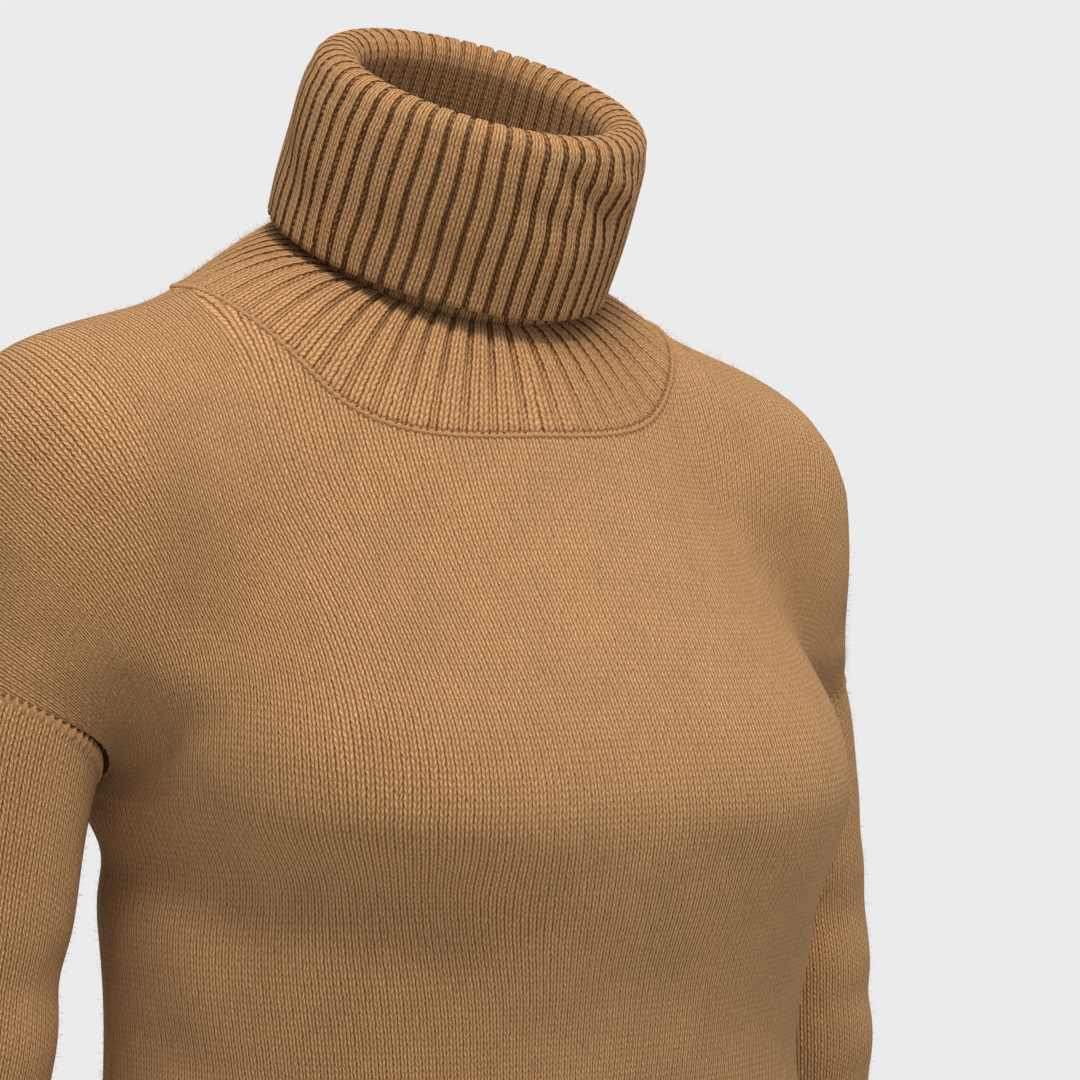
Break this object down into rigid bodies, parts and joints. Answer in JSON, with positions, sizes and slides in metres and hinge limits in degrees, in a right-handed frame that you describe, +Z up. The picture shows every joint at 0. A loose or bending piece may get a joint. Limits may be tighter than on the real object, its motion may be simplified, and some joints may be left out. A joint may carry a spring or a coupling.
{
  "type": "roll-neck sweater",
  "caption": "Hollow knitted wool sweater as worn: drop-shoulder front and back, long sleeves, ribbed hem and cuffs, and a ribbed roll collar folded over once.",
  "frame": {"origin": "middle of the neck at the height of the shoulders, where a wearer or a dress form carries the sweater", "axes": "+Z up along the body, the wearer faces -Y, the wearer's left is +X"},
  "size_m": [0.583, 0.288, 0.7741],
  "materials": {
    "jersey": "soft matt camel wool in stocking stitch",
    "rib": "soft matt camel wool in two by two rib"
  },
  "bodies": {
    "root": {"front": "jersey", "back": "jersey", "sleeve_left": "jersey", "sleeve_right": "jersey", "collar": "rib", "hem": "rib", "cuff_left": "rib", "cuff_right": "rib"}
  },
  "joints": []
}
